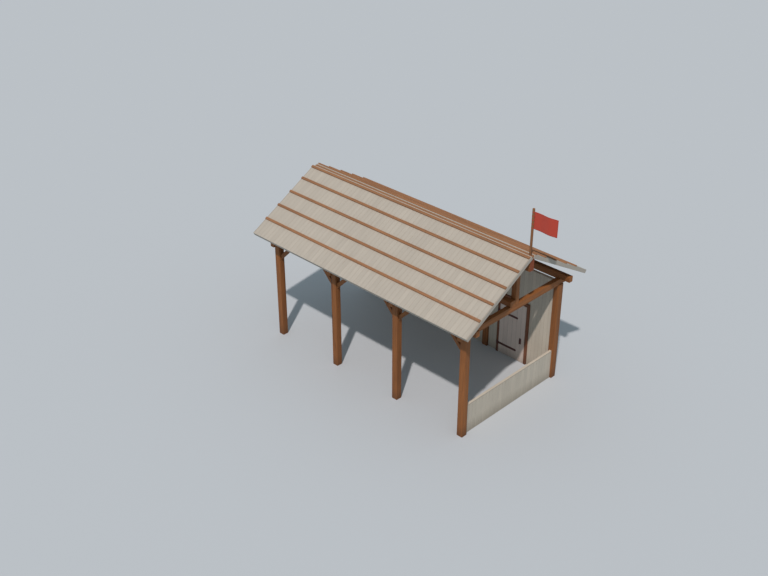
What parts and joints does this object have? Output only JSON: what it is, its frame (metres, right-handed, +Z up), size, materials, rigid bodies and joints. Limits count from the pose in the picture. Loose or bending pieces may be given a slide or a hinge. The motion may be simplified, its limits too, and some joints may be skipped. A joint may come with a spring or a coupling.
{
  "type": "boathouse",
  "caption": "Open-fronted timber boathouse with a gabled board roof on posts, a boarded rear wall with a hinged door, a low end wall and a flag.",
  "frame": {"origin": "middle of the foot of the front left post, at ground level, where the post grid starts", "axes": "+X along the front to the right end, +Y from the open front to the rear wall, +Z up"},
  "size_m": [9.19, 5.18, 6.3836],
  "materials": {
    "post_timber": "oiled brown timber",
    "beam_timber": "oiled brown timber",
    "roof_boards": "cream painted boards, matt",
    "batten_timber": "weathered brown battens",
    "wall_boards": "cream painted boards, matt",
    "frame_timber": "dark brown timber",
    "door_boards": "cream painted boards, matt",
    "pole_timber": "weathered brown timber",
    "iron": "dark red-brown paint on iron",
    "flag_cloth": "plain red woven cloth"
  },
  "bodies": {
    "building": {"front_post_1": "post_timber", "rear_post_1": "post_timber", "tie_beam_1": "beam_timber", "king_post_1": "beam_timber", "front_post_2": "post_timber", "rear_post_2": "post_timber", "tie_beam_2": "beam_timber", "king_post_2": "beam_timber", "front_post_3": "post_timber", "rear_post_3": "post_timber", "tie_beam_3": "beam_timber", "king_post_3": "beam_timber", "front_post_4": "post_timber", "rear_post_4": "post_timber", "tie_beam_4": "beam_timber", "king_post_4": "beam_timber", "front_plate": "beam_timber", "rear_plate": "beam_timber", "ridge_beam": "beam_timber", "binder_beam": "beam_timber", "front_braces": "beam_timber", "front_rafters": "beam_timber", "rear_rafters": "beam_timber", "rafter_blocks": "beam_timber", "front_roof": "roof_boards", "rear_roof": "roof_boards", "front_battens": "batten_timber", "rear_battens": "batten_timber", "ridge_cap": "batten_timber", "rear_wall_bay_1": "wall_boards", "rear_wall_bay_2": "wall_boards", "rear_wall_left_of_door": "wall_boards", "rear_wall_right_of_door": "wall_boards", "rear_wall_over_door": "wall_boards", "low_wall": "wall_boards", "door_jamb_left": "frame_timber", "door_jamb_right": "frame_timber", "door_lintel": "frame_timber", "hinge_plates": "iron", "hinge_pins": "iron", "flagpole": "pole_timber", "flag": "flag_cloth"},
    "door": {"door_leaf": "door_boards", "door_straps": "iron", "door_handles": "iron"}
  },
  "joints": [
    {"name": "door_hinge", "type": "hinge", "parent": "building", "child": "door", "pos_m": [5.539, 3.926, 0.345], "axis": [0, 0, -1], "range_deg": [0, 100]}
  ]
}
